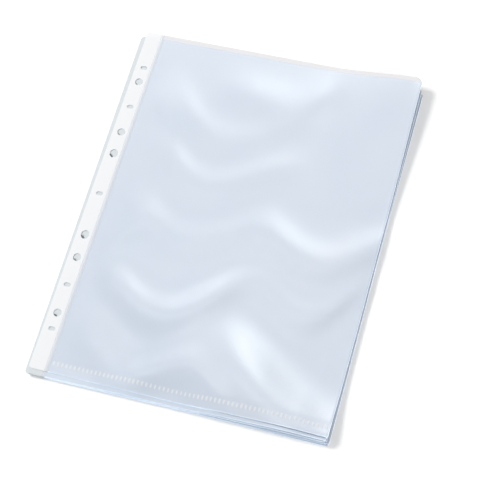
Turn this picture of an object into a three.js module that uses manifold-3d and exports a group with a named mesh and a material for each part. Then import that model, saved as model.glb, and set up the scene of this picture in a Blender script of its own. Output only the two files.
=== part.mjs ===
// A loose stack of clear A4 document sleeves with punched strips, lying flat, in millimetres.
// +Z is up, +Y runs from the welded foot to the open mouth, and the strips are on the -X side.
// Each sleeve is one film, folded along its right edge and welded at the foot and to the strip.

import * as THREE from 'three';
import { mergeVertices } from 'three/addons/utils/BufferGeometryUtils.js';
import Module from 'manifold-3d';

const wasm = await Module();
wasm.setup();

// The stack: how many sleeves, and the air that lies between one and the next.
const SLEEVE_COUNT = 10;
const STACK_GAP = 0.3;

// One sleeve: its outer size, the film, and the air between its two plies.
const SLEEVE_WIDTH = 235;
const SLEEVE_HEIGHT = 305;
const FILM = 0.1;
const POCKET_GAP = 0.2;
const MOUTH_CORNER = 6;

// The punched strip, and the weld bead along its inner edge that holds the two plies.
const STRIP_WIDTH = 14;
const STRIP_THICKNESS = 0.2;
const STRIP_CORNER = 2.5;
const BEAD_WIDTH = 1.6;
const FLEX_GAP = 0.3;

// The ring holes: round ones, two made long for two ring spacings, and narrow cross slots.
const HOLE_FROM_EDGE = 7.4;
const HOLE_DIAMETER = 6.5;
const LONG_HOLE = 7.5;
const SLOT_ACROSS = 5.5;
const SLOT_ALONG = 3.2;
const HOLE_EDGE = 4;

// The distance of each pair of holes from the middle hole, which is a slot.
const LONG_HOLE_OFFSET = 37;
const INNER_HOLE_OFFSET = 57;
const INNER_SLOT_OFFSET = 81;
const OUTER_HOLE_OFFSET = 105;
const OUTER_SLOT_OFFSET = 118.5;

// The welds inside the pocket: a bar beside the strip, and a row of crimps above the foot.
const SIDE_WELD = 1.5;
const FOOT_WELD_HEIGHT = 5.5;
const FOOT_WELD_WIDTH = 4.5;
const CRIMP_LENGTH = 2;
const CRIMP_PITCH = 3.4;
const PLY_CLEARANCE = 0.04;

// The upper sleeves aren't pressed flat: their mouth corners spring up, each one less than the
// one above it, and starting a little nearer the corner.
const CURLED_SLEEVES = 5;
const CURL_HEIGHT = 9;
const CURL_FALL = 1.5;
const CURL_START_ACROSS = 0.66;
const CURL_START_UP = 0.55;
const CURL_LAG = 0.02;

// The top sleeve's plies also have soft folds. Each hangs across the film in two low points, and
// they follow each other up the sleeve.
const WAVE_HEIGHT = 1;
const WAVE_LENGTH = 52;
const WAVE_LOW_POINT = 85;
const WAVE_SPREAD = 107;
const WAVE_DRAPE = 28;
const WAVE_CREST = 82;
const WAVE_START_UP = 0.05;

// How each sleeve lies in the stack, from the bottom up: millimetres right, millimetres
// towards the mouth, and degrees turned. The top one is the straight one.
const SLIPS = [
  [-1.4, -2.4, 0.7],
  [0.9, -2.9, -0.25],
  [-2.2, -3.2, 0.35],
  [-1.5, -2.6, 0.6],
  [-2.8, -3.5, 0.3],
  [1.0, -3.0, 0.2],
  [-1.8, -2.7, 0.55],
  [-3.0, -3.8, 0.4],
  [-2.2, -3.3, 0.5],
  [0, 0, 0],
];

// Facets: arcs of the holes and corners, the fold, and the columns and rows of a waved film and
// of a curled corner.
const HOLE_FACETS = 2;
const TOP_HOLE_FACETS = 5;
const FOLD_FACETS = 4;
const CORNER_ROWS = 3;
const WAVE_COLUMNS = 12;
const WAVE_ROWS = 22;
const CURL_COLUMNS = 5;
const CURL_ROWS = 5;

const SLEEVE_THICKNESS = 2 * FILM + POCKET_GAP;
const STACK_PITCH = SLEEVE_THICKNESS + STACK_GAP;
const POCKET_LEFT = STRIP_WIDTH + FLEX_GAP;
const POCKET_WIDTH = SLEEVE_WIDTH - POCKET_LEFT;
const FRONT_Z = FILM + POCKET_GAP;
const WELD_TOP = FRONT_Z - PLY_CLEARANCE;
const FOLD_RADIUS = SLEEVE_THICKNESS / 2;

const filmMaterial = () => new THREE.MeshStandardMaterial({
  color: '#d6dee8', roughness: 0.2, metalness: 0, transparent: true, opacity: 0.5,
});

const stripMaterial = () => new THREE.MeshStandardMaterial({
  color: '#f3f5f9', roughness: 0.45, metalness: 0,
});

function toManifold(geometry) {
  const bare = geometry.clone();
  bare.deleteAttribute('normal');
  bare.deleteAttribute('uv');
  const merged = mergeVertices(bare, 1e-4);
  return new wasm.Manifold(new wasm.Mesh({
    numProp: 3,
    vertProperties: Float32Array.from(merged.attributes.position.array),
    triVerts: Uint32Array.from(merged.index.array),
  }));
}

function toGeometry(solid) {
  const { vertProperties, triVerts } = solid.getMesh();
  const geometry = new THREE.BufferGeometry();
  geometry.setAttribute('position', new THREE.BufferAttribute(vertProperties, 3));
  geometry.setIndex(new THREE.BufferAttribute(triVerts, 1));
  geometry.computeVertexNormals();
  return geometry;
}

function box(x0, x1, y0, y1, z0, z1) {
  const geometry = new THREE.BoxGeometry(x1 - x0, y1 - y0, z1 - z0);
  return geometry.translate((x0 + x1) / 2, (y0 + y1) / 2, (z0 + z1) / 2);
}

function ease(from, to, value) {
  return THREE.MathUtils.smoothstep(value, from, to);
}

// How high a point of a sleeve's plies springs up at the mouth corner.
function curlAt(x, y, fromTop) {
  const across = (x - POCKET_LEFT) / POCKET_WIDTH;
  const share = Math.max(0, 1 - (fromTop / CURLED_SLEEVES) ** CURL_FALL);
  const lag = CURL_LAG * fromTop;
  return CURL_HEIGHT * share * ease(CURL_START_ACROSS + lag, 1, across)
    * ease(CURL_START_UP + lag, 1, y / SLEEVE_HEIGHT);
}

// How high a point of the top sleeve's plies rises in its soft folds.
function waveAt(x, y) {
  const across = (x - POCKET_LEFT) / POCKET_WIDTH;
  const drape = (1 - Math.cos((2 * Math.PI * (x - WAVE_LOW_POINT)) / WAVE_SPREAD)) / 2;
  const phase = (y - WAVE_CREST - WAVE_DRAPE * drape) / WAVE_LENGTH;
  const swell = (1 + Math.cos(2 * Math.PI * phase)) / 2;
  const edgeFade = Math.sin(Math.PI * THREE.MathUtils.clamp(across, 0, 1));
  const footFade = ease(WAVE_START_UP, 3 * WAVE_START_UP, y / SLEEVE_HEIGHT);
  return WAVE_HEIGHT * swell * edgeFade * footFade;
}

// Where the folded edge is at a height, with the corner at the mouth rounded.
function foldEdge(y) {
  const intoCorner = Math.max(0, y - (SLEEVE_HEIGHT - MOUTH_CORNER));
  const inset = MOUTH_CORNER - Math.sqrt(Math.max(0, MOUTH_CORNER ** 2 - intoCorner ** 2));
  return SLEEVE_WIDTH - inset;
}

// The heights at which a film's section is drawn: evenly from where it stops being flat, then
// closer round the mouth corner.
function filmRows(shape) {
  const straight = SLEEVE_HEIGHT - MOUTH_CORNER;
  const rows = stations(0, shape.flatUp * SLEEVE_HEIGHT, straight, shape.rows);
  for (let i = 1; i <= CORNER_ROWS; i += 1) {
    rows.push(straight + MOUTH_CORNER * Math.sin((Math.PI / 2) * (i / CORNER_ROWS)));
  }
  return rows;
}

// Joins closed sections, each a list of [x, z] in a plane across Y, into one closed solid. Every
// facet is split from its low X to its high X, so that the two faces of a film stay parallel.
function loftSections(rows, sectionAt, liftAt) {
  const rings = rows.map((y) => sectionAt(y).map(([x, z]) => [x, y, z + liftAt(x, y)]));
  const count = rings[0].length;
  const index = [];
  for (let r = 0; r + 1 < rings.length; r += 1) {
    for (let i = 0; i < count; i += 1) {
      const next = (i + 1) % count;
      const a = r * count + i;
      const b = r * count + next;
      if (rings[r][i][0] <= rings[r][next][0]) {
        index.push(a, a + count, b + count, a, b + count, b);
      } else {
        index.push(a, a + count, b, b, a + count, b + count);
      }
    }
  }
  const last = (rings.length - 1) * count;
  for (const [start, flip] of [[0, false], [last, true]]) {
    const ring = rings[start / count].map(([x, , z]) => new THREE.Vector2(x, z));
    for (const [a, b, c] of THREE.ShapeUtils.triangulateShape(ring, [])) {
      index.push(start + a, start + (flip ? c : b), start + (flip ? b : c));
    }
  }
  const geometry = new THREE.BufferGeometry();
  geometry.setAttribute('position', new THREE.Float32BufferAttribute(rings.flat(2), 3));
  geometry.setIndex(index);
  return geometry;
}

function evenly(from, to, count) {
  return Array.from({ length: count + 1 }, (_, i) => from + ((to - from) * i) / count);
}

// One long step over what is flat, if anything is, and even steps from there on.
function stations(from, flatTo, to, count) {
  return flatTo > from ? [from, ...evenly(flatTo, to, count)] : evenly(from, to, count);
}

// The places across a film where its section bends, from the side weld to the fold.
function filmColumns(y, shape) {
  const bend = foldEdge(y) - FOLD_RADIUS;
  const flatTo = POCKET_LEFT + shape.flatAcross * POCKET_WIDTH;
  return [POCKET_LEFT, ...stations(POCKET_LEFT + SIDE_WELD, flatTo, bend, shape.columns)];
}

// The back ply: flat film with the side weld's bar at the left, and turned over in a round
// fold at the right, up to where the front ply starts.
function backFilm(shape) {
  const sectionAt = (y) => {
    const columns = filmColumns(y, shape);
    const bend = columns.pop();
    const arc = (radius, t) => [
      bend + radius * Math.sin(t),
      FOLD_RADIUS - radius * Math.cos(t),
    ];
    const turns = evenly(0, Math.PI, FOLD_FACETS);
    return [
      ...columns.map((x) => [x, 0]),
      ...turns.map((t) => arc(FOLD_RADIUS, t)),
      ...turns.toReversed().map((t) => arc(FOLD_RADIUS - FILM, t)),
      ...columns.slice(1).toReversed().map((x) => [x, FILM]),
      [POCKET_LEFT + SIDE_WELD, WELD_TOP],
      [POCKET_LEFT, WELD_TOP],
    ];
  };
  const film = toManifold(loftSections(filmRows(shape), sectionAt, shape.lift));
  return toGeometry(footWeld(shape).reduce((whole, piece) => whole.add(piece), film));
}

// The foot weld: a row of crimps on the top sleeve, where it shows through the film, and one
// plain bar on the sleeves under it.
function footWeld(shape) {
  const left = POCKET_LEFT + SIDE_WELD / 2;
  const right = SLEEVE_WIDTH - FOLD_RADIUS;
  const y0 = FOOT_WELD_HEIGHT;
  const y1 = FOOT_WELD_HEIGHT + FOOT_WELD_WIDTH;
  if (!shape.crimped) {
    return [toManifold(box(left, right, y0, y1, FILM / 2, WELD_TOP))];
  }
  const first = POCKET_LEFT + SIDE_WELD + CRIMP_PITCH - CRIMP_LENGTH;
  const count = Math.floor((right - first + CRIMP_PITCH - CRIMP_LENGTH) / CRIMP_PITCH);
  return Array.from({ length: count }, (_, i) => {
    const x = first + i * CRIMP_PITCH;
    return toManifold(box(x, x + CRIMP_LENGTH, y0, y1, FILM / 2, WELD_TOP));
  });
}

// The front ply: film from the side weld to the fold.
function frontFilm(shape) {
  const sectionAt = (y) => {
    const columns = filmColumns(y, shape);
    columns.push(columns.pop() - PLY_CLEARANCE);
    return [
      ...columns.map((x) => [x, FRONT_Z]),
      ...columns.toReversed().map((x) => [x, SLEEVE_THICKNESS]),
    ];
  };
  return loftSections(filmRows(shape), sectionAt, shape.lift);
}

// A hole with two round ends, longer one way than the other, or plain round.
function ringHole(y, across, along) {
  const radius = Math.min(across, along) / 2;
  const halfX = across / 2 - radius;
  const halfY = along / 2 - radius;
  const hole = new THREE.Path();
  if (halfY > halfX) {
    hole.absarc(HOLE_FROM_EDGE, y + halfY, radius, 0, Math.PI, false);
    hole.absarc(HOLE_FROM_EDGE, y - halfY, radius, Math.PI, 2 * Math.PI, false);
  } else {
    hole.absarc(HOLE_FROM_EDGE + halfX, y, radius, -Math.PI / 2, Math.PI / 2, false);
    hole.absarc(HOLE_FROM_EDGE - halfX, y, radius, Math.PI / 2, 1.5 * Math.PI, false);
  }
  hole.closePath();
  return hole;
}

function ringHoles() {
  const middle = SLEEVE_HEIGHT / 2;
  const pairs = [
    [LONG_HOLE_OFFSET, HOLE_DIAMETER, LONG_HOLE],
    [INNER_HOLE_OFFSET, HOLE_DIAMETER, HOLE_DIAMETER],
    [INNER_SLOT_OFFSET, SLOT_ACROSS, SLOT_ALONG],
    [OUTER_HOLE_OFFSET, HOLE_DIAMETER, HOLE_DIAMETER],
    [OUTER_SLOT_OFFSET, SLOT_ACROSS, SLOT_ALONG],
  ];
  const holes = [ringHole(middle, SLOT_ACROSS, SLOT_ALONG)];
  for (const [offset, across, along] of pairs) {
    if (offset + along / 2 + HOLE_EDGE < middle) {
      holes.push(ringHole(middle - offset, across, along));
      holes.push(ringHole(middle + offset, across, along));
    }
  }
  return holes;
}

// The punched strip: thicker film with the ring holes, and the bead that melts into the plies.
function punchedStrip(shape) {
  const inner = STRIP_WIDTH - BEAD_WIDTH / 2;
  const outline = new THREE.Shape();
  outline.moveTo(inner, 0);
  outline.lineTo(inner, SLEEVE_HEIGHT);
  outline.absarc(STRIP_CORNER, SLEEVE_HEIGHT - STRIP_CORNER, STRIP_CORNER,
    Math.PI / 2, Math.PI, false);
  outline.absarc(STRIP_CORNER, STRIP_CORNER, STRIP_CORNER, Math.PI, 1.5 * Math.PI, false);
  outline.closePath();
  outline.holes = ringHoles();
  const strip = new THREE.ExtrudeGeometry(outline, {
    depth: STRIP_THICKNESS, bevelEnabled: false, curveSegments: shape.holeFacets,
  });
  strip.translate(0, 0, (SLEEVE_THICKNESS - STRIP_THICKNESS) / 2);
  const bead = box(STRIP_WIDTH - BEAD_WIDTH, STRIP_WIDTH, 0, SLEEVE_HEIGHT,
    0, SLEEVE_THICKNESS);
  return toGeometry(toManifold(strip).add(toManifold(bead)));
}

function addPiece(group, name, geometry, material) {
  const piece = new THREE.Mesh(geometry, material);
  piece.name = name;
  piece.position.set(-SLEEVE_WIDTH / 2, -SLEEVE_HEIGHT / 2, 0);
  group.add(piece);
}

// How a sleeve is drawn: waved and curled on top, curled under that, and flat at the bottom.
function shapeOf(fromTop) {
  if (fromTop === 0) {
    return {
      columns: WAVE_COLUMNS,
      rows: WAVE_ROWS,
      flatAcross: 0,
      flatUp: 0,
      lift: (x, y) => curlAt(x, y, fromTop) + waveAt(x, y),
      holeFacets: TOP_HOLE_FACETS,
      crimped: true,
    };
  }
  const curled = fromTop < CURLED_SLEEVES;
  return {
    columns: curled ? CURL_COLUMNS : 1,
    rows: curled ? CURL_ROWS : 1,
    flatAcross: curled ? CURL_START_ACROSS : 0,
    flatUp: curled ? CURL_START_UP : 0,
    lift: (x, y) => curlAt(x, y, fromTop),
    holeFacets: HOLE_FACETS,
    crimped: false,
  };
}

function sleeve(number) {
  const name = `sleeve_${String(number).padStart(2, '0')}`;
  const fromTop = SLEEVE_COUNT - number;
  const shape = shapeOf(fromTop);
  const slipRow = SLIPS.length - 1 - (fromTop % SLIPS.length);
  const [right, towardsMouth, degrees] = SLIPS[slipRow];
  const group = new THREE.Group();
  addPiece(group, `${name}_punched_strip`, punchedStrip(shape), stripMaterial());
  addPiece(group, `${name}_back_film`, backFilm(shape), filmMaterial());
  addPiece(group, `${name}_front_film`, frontFilm(shape), filmMaterial());
  group.position.set(right, towardsMouth, (number - 1) * STACK_PITCH);
  group.rotation.z = THREE.MathUtils.degToRad(degrees);
  return group;
}

const stack = new THREE.Group();
for (let number = 1; number <= SLEEVE_COUNT; number += 1) {
  stack.add(sleeve(number));
}

// The origin is under the middle of the stack's outline.
stack.updateMatrixWorld(true);
const middle = new THREE.Box3().setFromObject(stack, true).getCenter(new THREE.Vector3());
stack.position.set(-middle.x, -middle.y, 0);

export default stack;
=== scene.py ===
"""A loose stack of clear A4 document sleeves, as it lies in the photograph.

Every length is in metres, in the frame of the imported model: +Z up, +Y from the welded foot to the
open mouth, and the punched strips on the -X side.
"""

import math

import bpy
import numpy as np
from mathutils import Matrix, Vector


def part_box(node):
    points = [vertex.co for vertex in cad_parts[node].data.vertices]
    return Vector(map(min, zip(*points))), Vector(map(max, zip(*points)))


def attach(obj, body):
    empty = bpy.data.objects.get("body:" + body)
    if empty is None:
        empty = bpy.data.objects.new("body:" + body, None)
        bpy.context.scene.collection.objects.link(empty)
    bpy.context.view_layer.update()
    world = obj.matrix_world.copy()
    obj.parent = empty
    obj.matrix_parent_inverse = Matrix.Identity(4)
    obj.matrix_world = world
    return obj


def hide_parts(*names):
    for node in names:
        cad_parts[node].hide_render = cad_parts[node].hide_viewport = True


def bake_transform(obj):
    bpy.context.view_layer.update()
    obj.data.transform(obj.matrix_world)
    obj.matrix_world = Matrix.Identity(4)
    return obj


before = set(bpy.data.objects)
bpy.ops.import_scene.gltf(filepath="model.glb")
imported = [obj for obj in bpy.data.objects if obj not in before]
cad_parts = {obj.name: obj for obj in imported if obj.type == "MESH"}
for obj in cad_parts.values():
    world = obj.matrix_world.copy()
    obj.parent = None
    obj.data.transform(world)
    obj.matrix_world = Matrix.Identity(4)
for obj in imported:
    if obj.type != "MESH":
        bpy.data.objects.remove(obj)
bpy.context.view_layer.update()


# The camera stands about a metre above the foot of the stack and looks down at it. Its place and
# its lens were fitted to the top sleeve's corners and ring holes in the photograph.
PICTURE_SIDE = 480
FOCAL_PIXELS = 1460.9
SENSOR_MM = 36
CAMERA_PLACE = Vector((0.2486, -0.434, 1.0327))
CAMERA_FORWARD = Vector((-0.2084, 0.3725, -0.9043)).normalized()
CAMERA_RIGHT = Vector((0.9558, 0.2735, -0.1077))

camera = bpy.data.objects.new("camera", bpy.data.cameras.new("camera"))
bpy.context.scene.collection.objects.link(camera)
camera.data.sensor_width = SENSOR_MM
camera.data.lens = SENSOR_MM * FOCAL_PIXELS / PICTURE_SIDE
camera_up = CAMERA_RIGHT.cross(CAMERA_FORWARD).normalized()
camera_right = CAMERA_FORWARD.cross(camera_up)
camera.matrix_world = Matrix.Translation(CAMERA_PLACE) @ Matrix((
    camera_right, camera_up, -CAMERA_FORWARD,
)).transposed().to_4x4()
bpy.context.scene.camera = camera


# One sleeve's film is blown polypropylene, folded once along its right side. Both plies and the
# fold are one sheet, drawn on a grid that runs from the back ply round the fold to the front ply.
# The top sleeves aren't pressed flat: mouth corners and soft folds stand up, less in each one
# further down.
MM = 0.001
FILM = 0.1 * MM
POCKET_GAP = 0.2 * MM
MOUTH_CORNER = 6 * MM
TOP_GRID = 2 * MM
FOLDED_GRID = 3 * MM
PRESSED_GRID = 5 * MM
FOLD_STEPS = 6
CURL_HEIGHT = 9 * MM
CURL_START_ACROSS = 0.66
CURL_START_UP = 0.55
CURLED_SLEEVES = 5
CURL_FALL = 1.5
CURL_LAG = 0.02
FOLDED_SLEEVES = 6
FOLD_RUN_OUT = 28 * MM
FOLD_LEFT_AT_EDGE = 0.85
ARM_FADE = (0.45, 1.3)
PRESSED_WAVE = 0.12 * MM
PRESSED_WAVE_LENGTH = (61 * MM, 83 * MM)
PRESSED_WAVE_SHIFT = (0.37, 0.61)
FOOT_WELD = (5.5 * MM, 10 * MM)
SIDE_WELD = 1.5 * MM
WELD_RUN = 3 * MM
MOUTH_BAND = 3.6 * MM
CORNER_POINTS = 6
SHARP_ANGLE = math.radians(50)

# The soft folds, placed where the top sleeve has its sheen in the photograph. Each has the lowest
# place of its crest, the places where its two arms end, its height and its half width, all in
# millimetres of the sleeve's own frame.
TOP_FOLDS = (
    ((84, 64), (25, 86), (155, 108), 2.3, 16),
    ((85, 126), (30, 150), (150, 150), 1.3, 17),
    ((88, 178), (30, 208), (155, 208), 1.2, 16),
    ((90, 220), (22, 262), (165, 252), 0.85, 17),
    ((128, 262), (75, 268), (180, 288), 1.1, 18),
    ((192, 132), (136, 150), (256, 168), 1.75, 18),
    ((192, 88), (150, 106), (240, 124), 1.2, 15),
    ((238, -9), (110, 46), (340, 20), 7.4, 34),
    ((118, 27), (62, 4), (168, -3), 2.8, 16),
    ((20, 112), (-10, 108), (55, 134), 1.2, 14),
    ((24, 244), (-10, 262), (60, 226), 0.9, 16),
    ((28, 34), (-10, 44), (75, 20), 1.3, 18),
)

sleeve_count = sum(name.endswith("_punched_strip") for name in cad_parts)


def node_middle(name):
    low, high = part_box(name)
    return (low + high) / 2


def sleeve_name(number):
    return f"sleeve_{number:02d}"


top_strip_low, top_strip_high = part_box(f"{sleeve_name(sleeve_count)}_punched_strip")
top_film_low, top_film_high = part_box(f"{sleeve_name(sleeve_count)}_back_film")
STRIP_WIDTH = top_strip_high.x - top_strip_low.x
SLEEVE_HEIGHT = top_strip_high.y - top_strip_low.y
POCKET_LEFT = top_film_low.x - top_strip_low.x
SLEEVE_WIDTH = top_film_high.x - top_strip_low.x
SLEEVE_THICKNESS = 2 * FILM + POCKET_GAP


def place(number):
    """Takes a point from a sleeve's own frame, with its strip's foot corner at the origin, to the
    sleeve's place in the stack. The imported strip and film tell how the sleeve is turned."""
    strip = node_middle(f"{sleeve_name(number)}_punched_strip")
    film = node_middle(f"{sleeve_name(number)}_back_film")
    turn = math.atan2(film.y - strip.y, film.x - strip.x)
    low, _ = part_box(f"{sleeve_name(number)}_punched_strip")
    return (
        Matrix.Translation((strip.x, strip.y, low.z))
        @ Matrix.Rotation(turn, 4, "Z")
        @ Matrix.Translation((-STRIP_WIDTH / 2, -SLEEVE_HEIGHT / 2, 0))
    )


def ease(start, end, value):
    """Goes smoothly from 0 at start to 1 at end."""
    t = np.clip((value - start) / (end - start), 0, 1)
    return t * t * (3 - 2 * t)


def fold_height(x, y, low, left, right, height, width):
    """How far one soft fold stands up. Its crest hangs between its two arms, and fades along
    each of them."""
    (low_x, low_y), (left_x, left_y), (right_x, right_y) = (
        [part * MM for part in spot] for spot in (low, left, right))
    fade_start, fade_end = ARM_FADE
    on_left = x < low_x
    out = np.where(on_left, (low_x - x) / (low_x - left_x), (x - low_x) / (right_x - low_x))
    climb = np.where(on_left, left_y - low_y, right_y - low_y)
    crest = low_y + climb * (1 - np.cos(np.pi * np.clip(out, 0, fade_end))) / 2
    across_crest = np.exp(-((y - crest) / (width * MM)) ** 2)
    return height * MM * ease(fade_end, fade_start, out) * across_crest


def rise(x, y, from_top):
    """How far a sleeve's plies stand above a flat lie, at points of its own frame. The mouth
    corner's curl and the folds die out down the stack, where small pressed waves are left."""
    across = (x - POCKET_LEFT) / (SLEEVE_WIDTH - POCKET_LEFT)
    up = y / SLEEVE_HEIGHT
    share = max(0.0, 1 - (from_top / CURLED_SLEEVES) ** CURL_FALL)
    lag = CURL_LAG * from_top
    curl = CURL_HEIGHT * share * (
        ease(CURL_START_ACROSS + lag, 1, across) * ease(CURL_START_UP + lag, 1, up))
    folds = sum(fold_height(x, y, *fold) for fold in TOP_FOLDS)
    folds = folds * max(0.0, 1 - from_top / FOLDED_SLEEVES)
    folds = folds * ease(POCKET_LEFT, POCKET_LEFT + FOLD_RUN_OUT, x)
    folds = folds * (FOLD_LEFT_AT_EDGE + (1 - FOLD_LEFT_AT_EDGE)
                     * ease(SLEEVE_WIDTH, SLEEVE_WIDTH - FOLD_RUN_OUT, x))
    length_x, length_y = PRESSED_WAVE_LENGTH
    shift_x, shift_y = PRESSED_WAVE_SHIFT
    ripple = (np.sin(2 * np.pi * (x / length_x + shift_x * from_top))
              * np.sin(2 * np.pi * (y / length_y + shift_y * from_top)))
    held_at_sides = np.sin(np.pi * np.clip(across, 0, 1))
    waves = PRESSED_WAVE * min(from_top, 1) * held_at_sides * (1 + ripple) / 2
    return curl + folds + waves


def pinch(x, y):
    """How much of the gap between the plies is left, at points of a sleeve's own frame: none in
    the welds beside the strip and above the foot, and all of it a few millimetres away."""
    beside_strip = ease(POCKET_LEFT + SIDE_WELD, POCKET_LEFT + SIDE_WELD + WELD_RUN, x)
    below, above = FOOT_WELD
    at_foot = np.maximum(ease(below, below - WELD_RUN, y), ease(above, above + WELD_RUN, y))
    return np.minimum(beside_strip, at_foot)


def fold_edge(y):
    """Where the folded side is at a height, with the corner at the mouth rounded."""
    into_corner = min(MOUTH_CORNER, max(0.0, y - (SLEEVE_HEIGHT - MOUTH_CORNER)))
    return SLEEVE_WIDTH - MOUTH_CORNER + math.sqrt(MOUTH_CORNER ** 2 - into_corner ** 2)


def grid_mesh(name, points, closed=False):
    """A mesh of quads on a grid of points, given as an array of rows by columns by three. A closed
    grid joins its last column to its first, and its first and last rows are faces."""
    rows, columns, _ = points.shape
    index = np.arange(rows * columns).reshape(rows, columns)
    if closed:
        index = np.concatenate([index, index[:, :1]], axis=1)
    quads = np.stack(
        [index[:-1, :-1], index[:-1, 1:], index[1:, 1:], index[1:, :-1]], axis=-1
    ).reshape(-1, 4).tolist()
    if closed:
        quads += [index[0, :-1][::-1].tolist(), index[-1, :-1].tolist()]
    mesh = bpy.data.meshes.new(name)
    mesh.from_pydata(points.reshape(-1, 3).tolist(), [], quads)
    mesh.update()
    return mesh


def laid(mesh, number):
    """Lays a mesh in its sleeve's own frame over the sleeve's rise, and puts it in the stack."""
    points = np.array([vertex.co for vertex in mesh.vertices])
    points[:, 2] += rise(points[:, 0], points[:, 1], sleeve_count - number)
    mesh.vertices.foreach_set("co", points.ravel())
    mesh.transform(place(number))


def linked(name, mesh):
    piece = bpy.data.objects.new(name, mesh)
    bpy.context.scene.collection.objects.link(piece)
    return piece


def made_plain(piece):
    """Turns a piece with modifiers into a plain mesh with smooth faces and sharp cut edges."""
    graph = bpy.context.evaluated_depsgraph_get()
    mesh = bpy.data.meshes.new_from_object(piece.evaluated_get(graph))
    piece.modifiers.clear()
    piece.data = mesh
    mesh.shade_smooth()
    mesh.set_sharp_from_angle(angle=SHARP_ANGLE)
    return piece


def linear(hex_colour):
    """An sRGB hex colour as the linear RGBA that a shader takes."""
    parts = [int(hex_colour[i:i + 2], 16) / 255 for i in (1, 3, 5)]
    return [c / 12.92 if c <= 0.04045 else ((c + 0.055) / 1.055) ** 2.4 for c in parts] + [1]


def add_node(tree, kind, links=None, **settings):
    """Adds a node to a tree, sets its properties or inputs by name, and links its inputs."""
    node = tree.nodes.new(kind)
    for name, value in settings.items():
        if hasattr(node, name):
            setattr(node, name, value)
        else:
            node.inputs[name.replace("_", " ")].default_value = value
    for name, output in (links or {}).items():
        tree.links.new(output, node.inputs[name])
    return node


def new_material(name):
    material = bpy.data.materials.new(name)
    material.use_nodes = True
    material.node_tree.nodes.clear()
    return material


def finish_material(material, shader):
    output = add_node(material.node_tree, "ShaderNodeOutputMaterial")
    material.node_tree.links.new(shader.outputs[0], output.inputs["Surface"])
    return material


def plain_plastic(name, colour, roughness, alpha, shine=0.5, glow=0):
    """A plastic that is one colour all over, and may glow: painted light that lightens it where the
    lamps leave it in shade.
    """
    material = new_material(name)
    shader = add_node(material.node_tree, "ShaderNodeBsdfPrincipled", Roughness=roughness,
                      IOR=1.49, Specular_IOR_Level=shine, Alpha=alpha)
    shader.inputs["Base Color"].default_value = linear(colour)
    shader.inputs["Emission Color"].default_value = linear(colour)
    shader.inputs["Emission Strength"].default_value = glow
    return finish_material(material, shader)


# Clear film lets light through and scatters some of it, so that a stack of sleeves is pale blue
# with a soft sheen. Its tint drifts in clouds a few centimetres wide. The grain of its skin is
# finer than a tenth of a millimetre, and is drawn coarser here so that it shows.
FILM_ALPHA = 0.62
CLOUD_SIZE = 55 * MM
GRAIN_SIZE = 1.1 * MM
GRAIN_DEPTH = 0.2 * MM


def clear_film():
    material = new_material("clear_polypropylene_film")
    tree = material.node_tree
    spot = add_node(tree, "ShaderNodeTexCoord").outputs["Object"]
    cloud = add_node(tree, "ShaderNodeTexNoise", {"Vector": spot}, Scale=1 / CLOUD_SIZE,
                     Detail=2)
    tint = add_node(tree, "ShaderNodeMix", {"Factor": cloud.outputs["Fac"]}, data_type="RGBA")
    tint.inputs[6].default_value = linear("#E2EEFB")
    tint.inputs[7].default_value = linear("#ECF3FE")
    grain = add_node(tree, "ShaderNodeTexNoise", {"Vector": spot}, Scale=1 / GRAIN_SIZE,
                     Detail=1)
    bump = add_node(tree, "ShaderNodeBump", {"Height": grain.outputs["Fac"]},
                    Strength=0.15, Distance=GRAIN_DEPTH)
    shader = add_node(tree, "ShaderNodeBsdfPrincipled",
                      {"Base Color": tint.outputs[2], "Normal": bump.outputs["Normal"]},
                      Roughness=0.3, IOR=1.49, Specular_IOR_Level=0.8, Alpha=FILM_ALPHA)
    return finish_material(material, shader)


film_material = clear_film()

# The cut edges are pale and glow, painted light that brightens them where they lie in shade. The
# crease along the fold glows too, painted light on the shaded right side of the stack, and the
# mouth is a little thicker and paler where it was cut.
film_edge_with_painted_light = plain_plastic("cut_edge_of_film_with_painted_light", "#E4EFF9", roughness=0.35, alpha=0.9,
                                   glow=0.5)
crease_with_painted_light = plain_plastic("creased_film_with_painted_light", "#EAF2FA", roughness=0.3, alpha=0.9, glow=0.6)
mouth_material = plain_plastic("pale_mouth_edge", "#F2F1F3", roughness=0.4, alpha=0.8)
FILM_MATERIALS = (film_material, film_edge_with_painted_light, crease_with_painted_light, mouth_material)

# Where they are welded, the plies lie a hair apart, so that no two faces share a plane.
WELDED_RADIUS = 0.52 * FILM


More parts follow.
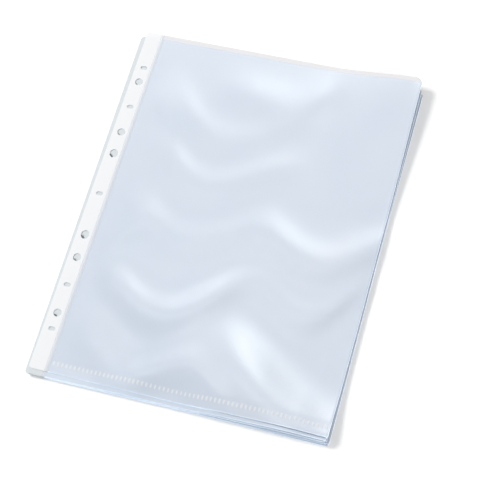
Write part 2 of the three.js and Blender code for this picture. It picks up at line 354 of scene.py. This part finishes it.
def film_points(step):
    """The grid of one sleeve's film before it is laid, in its own frame."""
    below, above = FOOT_WELD
    foot_rows = [0, below - WELD_RUN, below - WELD_RUN / 2, below, above, above + WELD_RUN / 2]
    rows = round((SLEEVE_HEIGHT - MOUTH_CORNER - above - WELD_RUN) / step)
    flat_rows = np.linspace(above + WELD_RUN, SLEEVE_HEIGHT - MOUTH_CORNER, rows)
    band_turn = math.asin(1 - MOUTH_BAND / MOUTH_CORNER)
    corner_rows = SLEEVE_HEIGHT - MOUTH_CORNER + MOUTH_CORNER * np.sin(
        np.concatenate([[band_turn / 2], np.linspace(band_turn, np.pi / 2, CORNER_POINTS)]))
    weld_end = POCKET_LEFT + SIDE_WELD
    columns = round((SLEEVE_WIDTH - weld_end - WELD_RUN) / step)
    fold_radius = (SLEEVE_THICKNESS - FILM) / 2
    turn = np.linspace(0, np.pi, FOLD_STEPS + 1)
    grid = []
    for y in [*foot_rows, *flat_rows, *corner_rows]:
        bend = fold_edge(y) - SLEEVE_THICKNESS / 2
        across = np.concatenate([
            [POCKET_LEFT, weld_end, weld_end + WELD_RUN / 2],
            np.linspace(weld_end + WELD_RUN, bend, columns)[:-1]])
        x = np.concatenate([across, bend + fold_radius * np.sin(turn), across[::-1]])
        side = np.concatenate([np.full(len(across), -1), -np.cos(turn), np.full(len(across), 1)])
        radius = WELDED_RADIUS + (fold_radius - WELDED_RADIUS) * pinch(x, y)
        z = SLEEVE_THICKNESS / 2 + side * radius
        grid.append(np.stack([x, np.full_like(x, y), z], axis=-1))
    return np.array(grid)


def film_body(number):
    """The body that carries a sleeve's film: the top sleeve's film turns over on its own."""
    return f"{sleeve_name(number)}_pocket" if number == sleeve_count else sleeve_name(number)


def make_film(number):
    name = sleeve_name(number)
    from_top = sleeve_count - number
    step = TOP_GRID
    if from_top >= FOLDED_SLEEVES:
        step = PRESSED_GRID
    elif from_top > 0:
        step = FOLDED_GRID
    mesh = grid_mesh(f"{name}_film", film_points(step))
    piece = linked(f"{name}_film", mesh)
    for material in FILM_MATERIALS:
        mesh.materials.append(material)
    for face in mesh.polygons:
        # The fold's faces take the crease material, with its glow of painted light.
        if face.center.x > SLEEVE_WIDTH - SLEEVE_THICKNESS / 2:
            face.material_index = FILM_MATERIALS.index(crease_with_painted_light)
        elif face.center.y > SLEEVE_HEIGHT - MOUTH_BAND:
            face.material_index = FILM_MATERIALS.index(mouth_material)
    laid(mesh, number)
    thickness = piece.modifiers.new("film thickness", "SOLIDIFY")
    thickness.thickness = FILM
    thickness.offset = 0
    # The cut rims take the edge material, with its glow of painted light.
    thickness.material_offset_rim = FILM_MATERIALS.index(film_edge_with_painted_light)
    made_plain(piece)
    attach(piece, film_body(number))
    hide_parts(f"{name}_back_film", f"{name}_front_film")


for number in range(1, sleeve_count + 1):
    make_film(number)


# The punched strip is thicker film, milky because it isn't stretched so thin. Its outer corners
# are round, and eleven ring holes are punched through it: round and long ones for the rings of two
# spacings, and narrow slots that lie across.
STRIP_THICKNESS = 0.4 * MM
STRIP_CORNER = 2.5 * MM
HOLE_FROM_EDGE = 7.4 * MM
ROUND_HOLE = (6.5 * MM, 6.5 * MM)
LONG_HOLE = (6.5 * MM, 7.5 * MM)
CROSS_SLOT = (5.5 * MM, 3.2 * MM)
HOLE_OFFSETS = (
    (0, CROSS_SLOT), (37 * MM, LONG_HOLE), (57 * MM, ROUND_HOLE), (81 * MM, CROSS_SLOT),
    (105 * MM, ROUND_HOLE), (118.5 * MM, CROSS_SLOT),
)
HOLE_SEGMENTS = 12
CORNER_SEGMENTS = 6
FULL_ROUND = 0.499
SAME_PLACE = 0.001 * MM


def new_tree(name, inputs):
    """A geometry node tree with named number inputs, and its group input node."""
    tree = bpy.data.node_groups.new(name, "GeometryNodeTree")
    tree.interface.new_socket("Geometry", in_out="INPUT", socket_type="NodeSocketGeometry")
    tree.interface.new_socket("Geometry", in_out="OUTPUT", socket_type="NodeSocketGeometry")
    for label in inputs:
        tree.interface.new_socket(label, in_out="INPUT", socket_type="NodeSocketFloat")
    return tree, add_node(tree, "NodeGroupInput")


def finish_tree(tree, node, material, edge=None, edge_material=None):
    """Ends a tree: its instances become real and take a material, and the faces that the edge
    field picks take the other one."""
    last = add_node(tree, "GeometryNodeRealizeInstances", {0: node.outputs[0]})
    last = add_node(tree, "GeometryNodeSetMaterial", {"Geometry": last.outputs[0]},
                    Material=material)
    if edge is not None:
        last = add_node(tree, "GeometryNodeSetMaterial",
                        {"Geometry": last.outputs[0], "Selection": edge}, Material=edge_material)
    output = add_node(tree, "NodeGroupOutput")
    tree.links.new(last.outputs[0], output.inputs[0])


def grown(name, tree, values):
    """A piece made by a geometry node tree, with its named inputs set."""
    piece = linked(name, bpy.data.meshes.new(name))
    modifier = piece.modifiers.new("shape", "NODES")
    modifier.node_group = tree
    for socket in tree.interface.items_tree:
        if socket.in_out == "INPUT" and socket.name in values:
            modifier[socket.identifier] = values[socket.name]
    return made_plain(piece)


def vector_of(tree, x=None, y=None, z=None):
    """A vector output made of number outputs, with 0 for what isn't given."""
    parts = {label: part for label, part in zip("XYZ", (x, y, z)) if part is not None}
    return add_node(tree, "ShaderNodeCombineXYZ", parts).outputs[0]


def maths(tree, operation, a, b):
    """One step of arithmetic between outputs or numbers."""
    node = add_node(tree, "ShaderNodeMath", operation=operation)
    for socket, value in zip(node.inputs, (a, b)):
        if isinstance(value, (int, float)):
            socket.default_value = value
        else:
            tree.links.new(value, socket)
    return node.outputs[0]


def strip_tree(face_material, edge_material):
    """A strip with its foot corner at the origin: its outline and the holes are filled as one
    face, which is raised to the strip's thickness and closed below."""
    tree, group = new_tree("punched_strip", ("Width", "Height", "Thickness", "Corner", "Holes at"))
    size = group.outputs
    half_width = maths(tree, "DIVIDE", size["Width"], 2)
    half_height = maths(tree, "DIVIDE", size["Height"], 2)
    outline = add_node(tree, "GeometryNodeCurvePrimitiveQuadrilateral",
                       {"Width": size["Width"], "Height": size["Height"]})
    spot = add_node(tree, "GeometryNodeInputPosition").outputs[0]
    spot_x = add_node(tree, "ShaderNodeSeparateXYZ", {0: spot}).outputs["X"]
    outer_corner = maths(tree, "MULTIPLY", maths(tree, "LESS_THAN", spot_x, 0), size["Corner"])
    rounded = add_node(tree, "GeometryNodeFilletCurve",
                       {"Curve": outline.outputs[0], "Radius": outer_corner},
                       mode="POLY", Count=CORNER_SEGMENTS)
    strip = add_node(tree, "GeometryNodeTransform",
                     {"Geometry": rounded.outputs[0],
                      "Translation": vector_of(tree, half_width, half_height)})
    curves = add_node(tree, "GeometryNodeJoinGeometry")
    tree.links.new(strip.outputs[0], curves.inputs[0])
    for offset, (across, along) in HOLE_OFFSETS:
        for side in (1, -1) if offset else (1,):
            box_curve = add_node(tree, "GeometryNodeCurvePrimitiveQuadrilateral",
                                 Width=across, Height=along)
            hole = add_node(tree, "GeometryNodeFilletCurve", {"Curve": box_curve.outputs[0]},
                            mode="POLY", Count=HOLE_SEGMENTS,
                            Radius=min(across, along) * FULL_ROUND)
            y = maths(tree, "ADD", half_height, side * offset)
            moved = add_node(tree, "GeometryNodeTransform",
                             {"Geometry": hole.outputs[0],
                              "Translation": vector_of(tree, size["Holes at"], y)})
            tree.links.new(moved.outputs[0], curves.inputs[0])
    face = add_node(tree, "GeometryNodeFillCurve", {"Curve": curves.outputs[0]})
    solid = add_node(tree, "GeometryNodeExtrudeMesh",
                     {"Mesh": face.outputs[0], "Offset Scale": size["Thickness"]},
                     Individual=False)
    under = add_node(tree, "GeometryNodeFlipFaces", {"Mesh": face.outputs[0]})
    both = add_node(tree, "GeometryNodeJoinGeometry")
    tree.links.new(under.outputs[0], both.inputs[0])
    tree.links.new(solid.outputs["Mesh"], both.inputs[0])
    whole = add_node(tree, "GeometryNodeMergeByDistance", {"Geometry": both.outputs[0]},
                     Distance=SAME_PLACE)
    finish_tree(tree, whole, face_material, solid.outputs["Side"], edge_material)
    return tree


# The strip is satin and nearly white, with a faint glow of painted light. The strips below it are
# painted a little darker, painted shade from those above them, and the punched edges are pale grey
# and glow, painted light that lightens the holes and the strip's border.
strip_material = plain_plastic("milky_punched_film", "#F7F8FA", roughness=0.55, alpha=0.86,
                               shine=0.3, glow=0.05)
shaded_strip_material = plain_plastic("milky_punched_film_with_painted_shade", "#E7ECEF", roughness=0.55,
                                      alpha=0.86, shine=0.3)
strip_edge_with_painted_light = plain_plastic("cut_edge_of_strip_with_painted_light", "#CDD9DF", roughness=0.5, alpha=0.8,
                                    glow=0.25)
top_strip_tree = strip_tree(strip_material, strip_edge_with_painted_light)
lower_strip_tree = strip_tree(shaded_strip_material, strip_edge_with_painted_light)

for number in range(1, sleeve_count + 1):
    name = sleeve_name(number)
    tree = top_strip_tree if number == sleeve_count else lower_strip_tree
    piece = grown(f"{name}_strip", tree, {
        "Width": STRIP_WIDTH, "Height": SLEEVE_HEIGHT, "Thickness": STRIP_THICKNESS,
        "Corner": STRIP_CORNER, "Holes at": HOLE_FROM_EDGE,
    })
    lift = Matrix.Translation((0, 0, (SLEEVE_THICKNESS - STRIP_THICKNESS) / 2))
    piece.data.transform(place(number) @ lift)
    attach(piece, name)
    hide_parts(f"{name}_punched_strip")


# The side weld is where the strip and both plies are melted together, a narrow raised line down the
# whole sleeve. On the top sleeve it lies where the pocket turns over, and it has columns across
# that stretch.
WELD_START = 12.4 * MM
WELD_END = POCKET_LEFT + SIDE_WELD
WELD_SWELL = 0.02 * MM
WELD_SHOULDER = 0.3 * MM
WELD_INSET = 0.2 * MM
WELD_ROWS = 62
BEND_COLUMNS = 8

# Melted film is smooth, and clearer than the milky strip beside it.
weld_material = plain_plastic("melted_side_weld", "#EEF2F7", roughness=0.3, alpha=0.6)
bend_start = STRIP_WIDTH
bend_end = POCKET_LEFT

for number in range(1, sleeve_count + 1):
    name = sleeve_name(number)
    across = np.concatenate([
        [WELD_START, WELD_START + WELD_SHOULDER],
        np.linspace(bend_start, bend_end, BEND_COLUMNS + 1),
        [WELD_END - WELD_SHOULDER, WELD_END]])
    half = np.full(len(across), SLEEVE_THICKNESS / 2 + WELD_SWELL)
    half[[0, -1]] = SLEEVE_THICKNESS / 2 - WELD_SWELL
    x = np.concatenate([across, across[::-1]])
    z = SLEEVE_THICKNESS / 2 + np.concatenate([-half, half[::-1]])
    rows = [np.stack([x, np.full_like(x, y), z], axis=-1)
            for y in np.linspace(WELD_INSET, SLEEVE_HEIGHT - WELD_INSET, WELD_ROWS)]
    mesh = grid_mesh(f"{name}_side_weld", np.array(rows), closed=True)
    laid(mesh, number)
    mesh.materials.append(weld_material)
    piece = made_plain(linked(f"{name}_side_weld", mesh))
    if number == sleeve_count:
        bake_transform(piece)
    else:
        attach(piece, name)


# The foot is cut with a hot knife, which leaves a fine round bead of melted film along it. Like the
# film's other cut edges, it glows, painted light that brightens the shaded foot.
FOOT_BEAD = 0.4 * MM
BEAD_SIDES = 8
BEAD_ROWS = 45

for number in range(1, sleeve_count + 1):
    name = sleeve_name(number)
    turn = np.linspace(0, 2 * np.pi, BEAD_SIDES, endpoint=False)
    rows = []
    for x in np.linspace(POCKET_LEFT + SIDE_WELD, SLEEVE_WIDTH - FOOT_BEAD, BEAD_ROWS):
        y = FOOT_BEAD / 2 * (1 + np.sin(turn))
        z = SLEEVE_THICKNESS / 2 + FOOT_BEAD / 2 * np.cos(turn)
        rows.append(np.stack([np.full_like(y, x), y, z], axis=-1))
    mesh = grid_mesh(f"{name}_foot_bead", np.array(rows)[:, ::-1], closed=True)
    laid(mesh, number)
    mesh.materials.append(film_edge_with_painted_light)
    piece = made_plain(linked(f"{name}_foot_bead", mesh))
    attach(piece, film_body(number))


# The foot weld is a row of short crimps pressed into both plies by a hot wheel. Each one is
# whitened by the stress, and stands a little proud of the film.
CRIMP_LENGTH = 2 * MM
CRIMP_PITCH = 3.4 * MM
CRIMP_RISE = 0.16 * MM


def crimp_tree(material):
    """A row of flat pills along X, the first one at the origin."""
    tree, group = new_tree("crimp_row", ("Count", "Pitch", "Length", "Height", "Rise"))
    size = group.outputs
    line = add_node(tree, "GeometryNodeMeshLine",
                    {"Count": size["Count"], "Offset": vector_of(tree, size["Pitch"])})
    pill = add_node(tree, "GeometryNodeMeshUVSphere", Segments=16, Rings=8, Radius=0.5)
    shaped = add_node(tree, "GeometryNodeTransform",
                      {"Geometry": pill.outputs[0],
                       "Scale": vector_of(tree, size["Length"], size["Height"], size["Rise"])})
    row = add_node(tree, "GeometryNodeInstanceOnPoints",
                   {"Points": line.outputs[0], "Instance": shaped.outputs[0]})
    finish_tree(tree, row, material)
    return tree


crimp_material = plain_plastic("stress_whitened_crimp", "#FAFCFF", roughness=0.4, alpha=0.7)
crimp_row_tree = crimp_tree(crimp_material)
first_crimp = POCKET_LEFT + SIDE_WELD + CRIMP_PITCH - CRIMP_LENGTH / 2
last_crimp = SLEEVE_WIDTH - SLEEVE_THICKNESS / 2 - CRIMP_LENGTH / 2
crimp_count = int((last_crimp - first_crimp) / CRIMP_PITCH) + 1

for number in range(1, sleeve_count + 1):
    name = sleeve_name(number)
    piece = grown(f"{name}_crimps", crimp_row_tree, {
        "Count": crimp_count, "Pitch": CRIMP_PITCH, "Length": CRIMP_LENGTH,
        "Height": FOOT_WELD[1] - FOOT_WELD[0], "Rise": SLEEVE_THICKNESS / 2 + CRIMP_RISE,
    })
    middle = Vector((first_crimp, sum(FOOT_WELD) / 2, SLEEVE_THICKNESS / 2))
    piece.data.transform(Matrix.Translation(middle))
    laid(piece.data, number)
    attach(piece, film_body(number))


# The stack lies on a plain white table top under a bright sky of studio light. The key light is
# at the left and throws a short shadow to the right. Where the camera or a reflection sees the
# table, its paint glows a little, so that it looks white and still takes the shadow.
TABLE_SIDE = 6
TABLE_COLOUR = (0.8, 0.8, 0.8, 1)
TABLE_GLOW = 0.29
table_ends = (-TABLE_SIDE / 2, TABLE_SIDE / 2)
table_points = np.array([[(x, y, 0) for x in table_ends] for y in table_ends], float)
table = linked("table_top", grid_mesh("table_top", table_points))


def table_paint():
    material = new_material("white_table_paint")
    tree = material.node_tree
    shader = add_node(tree, "ShaderNodeBsdfDiffuse")
    shader.inputs["Color"].default_value = TABLE_COLOUR
    ray = add_node(tree, "ShaderNodeLightPath").outputs
    seen = maths(tree, "MAXIMUM", ray["Is Camera Ray"], ray["Is Glossy Ray"])
    seen = maths(tree, "MAXIMUM", seen, ray["Is Transmission Ray"])
    glow = add_node(tree, "ShaderNodeEmission",
                    {"Strength": maths(tree, "MULTIPLY", seen, TABLE_GLOW)})
    both = add_node(tree, "ShaderNodeAddShader", {0: shader.outputs[0], 1: glow.outputs[0]})
    return finish_material(material, both)


table.data.materials.append(table_paint())

KEY_DIRECTION = (-0.66, 0.05, 1)
KEY_DISTANCE = 3.2
KEY_SIZE = 0.9
KEY_POWER = 57
BOX_DISTANCE = 6
SKY_STRENGTH = 0.52
FILM_LAYERS = 48


def studio_light(name, shape, direction, distance, size, power):
    """An area light that looks at the stack, with its width along X and its height along Y."""
    light = bpy.data.objects.new(name, bpy.data.lights.new(name, "AREA"))
    bpy.context.scene.collection.objects.link(light)
    light.data.shape = shape
    light.data.size, light.data.size_y = size
    light.data.energy = power
    away = Vector(direction).normalized()
    width = Vector((0, 1, 0)).cross(away).normalized()
    turn = Matrix((width, away.cross(width), away)).transposed().to_4x4()
    light.matrix_world = Matrix.Translation(away * distance) @ turn
    return light


key = studio_light("key_light", "DISK", KEY_DIRECTION, KEY_DISTANCE, (KEY_SIZE, KEY_SIZE),
                   KEY_POWER)
key.visible_glossy = False

# Soft boxes far behind the stack are what its folds mirror into the camera. They give no diffuse
# light: a tall one at the left, a wide one, a small one for the right side and a low one.
for name, direction, size, power in (
    ("tall_soft_box", (-0.53, 0.83, 1), (0.6, 1.9), 37),
    ("wide_soft_box", (-0.292, 0.9, 1), (2.8, 0.6), 66),
    ("small_soft_box", (-0.1, 0.728, 1), (1.0, 0.6), 68),
    ("low_soft_box", (-0.2, 0.28, 1), (2.4, 0.6), 36),
):
    box = studio_light(name, "RECTANGLE", direction, BOX_DISTANCE, size, power)
    box.visible_diffuse = False

# The sky lights the stack softly, and the camera sees it white.
world = bpy.data.worlds.new("studio_sky")
bpy.context.scene.world = world
world.use_nodes = True
world.node_tree.nodes.clear()
sky_tree = world.node_tree
sky = add_node(sky_tree, "ShaderNodeBackground", Strength=SKY_STRENGTH)
seen_sky = add_node(sky_tree, "ShaderNodeBackground", Strength=1)
for background in (sky, seen_sky):
    background.inputs["Color"].default_value = linear("#FFFFFF")
sky_ray = add_node(sky_tree, "ShaderNodeLightPath").outputs["Is Camera Ray"]
sky_mix = add_node(sky_tree, "ShaderNodeMixShader",
                   {0: sky_ray, 1: sky.outputs[0], 2: seen_sky.outputs[0]})
sky_output = add_node(sky_tree, "ShaderNodeOutputWorld")
sky_tree.links.new(sky_mix.outputs[0], sky_output.inputs["Surface"])

bpy.context.scene.view_settings.view_transform = "Standard"
# A ray passes four faces of film in each sleeve, and the stack has ten sleeves.
bpy.context.scene.cycles.transparent_max_bounces = FILM_LAYERS
